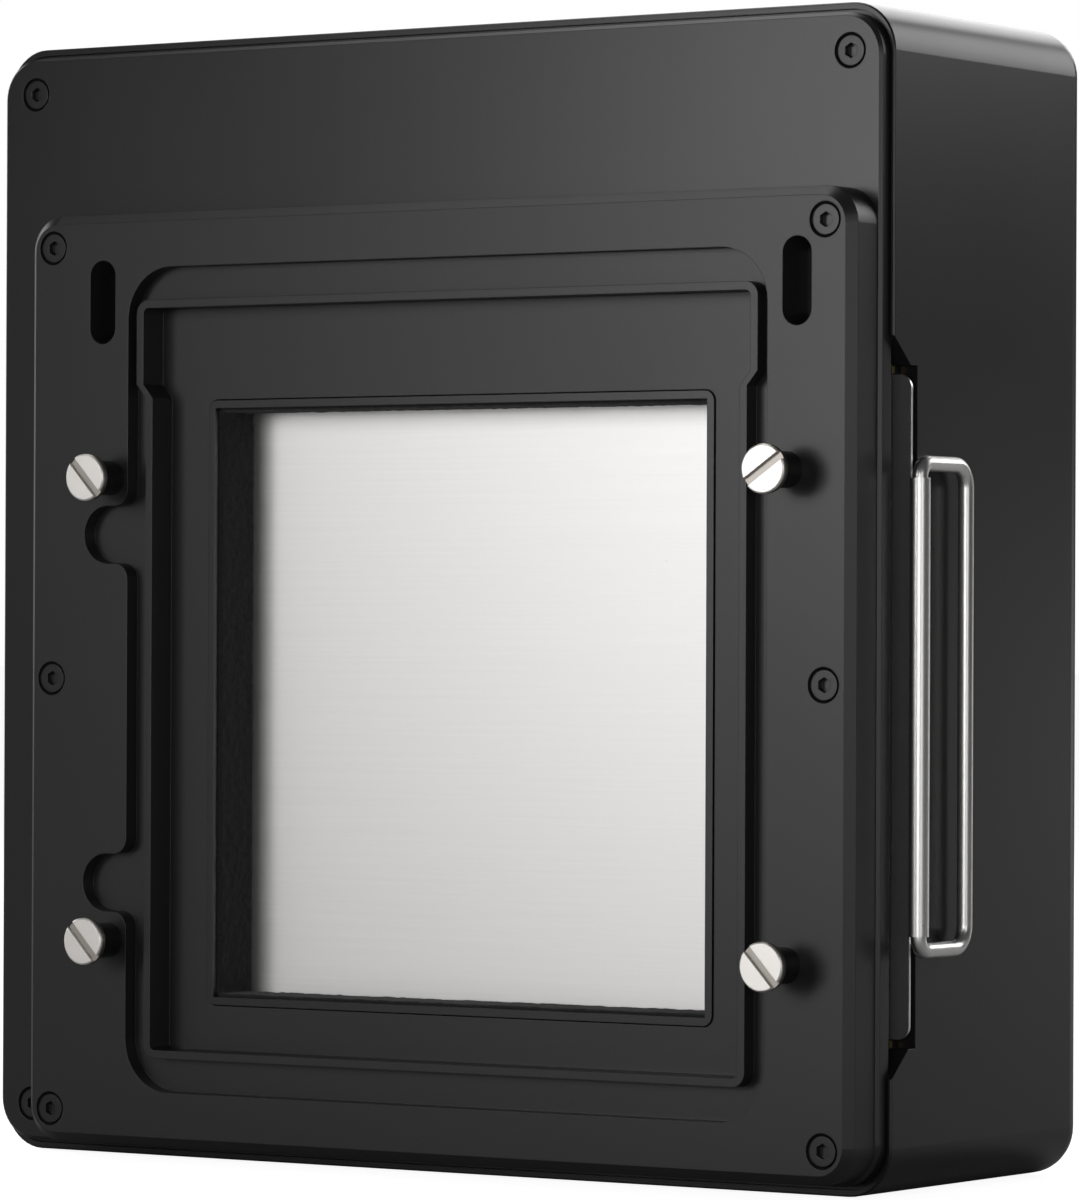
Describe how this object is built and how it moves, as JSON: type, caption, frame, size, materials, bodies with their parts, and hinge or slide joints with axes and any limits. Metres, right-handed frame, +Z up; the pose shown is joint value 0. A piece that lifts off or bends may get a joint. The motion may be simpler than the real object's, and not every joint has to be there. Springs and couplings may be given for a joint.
{
  "type": "sheet film holder",
  "caption": "Black film holder with a stepped adapter front, slotted studs, a square window and a steel dark slide with a wire loop handle.",
  "frame": {"origin": "middle of the footprint, on the underside", "axes": "+X to the side the dark slide leaves by, -Y to the camera, +Z up"},
  "size_m": [0.1152, 0.0508, 0.12],
  "materials": {
    "shell_black": "satin black",
    "anodised_black": "satin black anodised",
    "screw_black": "black oxide",
    "steel_bright": "polished",
    "steel_sheet": "brushed",
    "velvet": "pile",
    "brass": "plain",
    "spring_steel": "plain",
    "film": "gloss",
    "pack_black": "matt black"
  },
  "bodies": {
    "holder": {"rear_shell": "shell_black", "front_plate": "anodised_black", "adapter_plate": "anodised_black", "stud_posts": "screw_black", "stud_screws": "steel_bright", "adapter_screws": "screw_black", "corner_screws": "screw_black", "light_trap_frame": "anodised_black", "window_velvet": "velvet", "guide_plate": "pack_black", "slide_rails": "brass", "slot_velvet": "velvet", "film_gate": "anodised_black", "guide_screws": "screw_black", "pack_cradle": "anodised_black", "cradle_screws": "spring_steel", "pack_case": "pack_black", "pack_cover": "pack_black", "pack_spring": "spring_steel", "film_sheets": "film", "hinge_pin": "spring_steel", "door_seal": "velvet", "strike_discs": "spring_steel"},
    "slide": {"dark_slide": "steel_sheet"},
    "handle": {"slide_handle": "steel_bright"},
    "door": {"rear_door": "shell_black", "door_springs": "spring_steel", "spring_rivets": "spring_steel", "door_magnets": "spring_steel"}
  },
  "joints": [
    {"name": "slide_pull", "type": "slide", "parent": "holder", "child": "slide", "axis": [1, 0, 0], "range_m": [0, 0.068]},
    {"name": "handle_swing", "type": "hinge", "parent": "slide", "child": "handle", "pos_m": [0.05652, -0.01153, 0.0492], "axis": [0, 0, -1], "range_deg": [0, 110]},
    {"name": "door_swing", "type": "hinge", "parent": "holder", "child": "door", "pos_m": [-0.05038, 0.02363, 0.06], "axis": [0, 0, 1], "range_deg": [0, 95]}
  ]
}
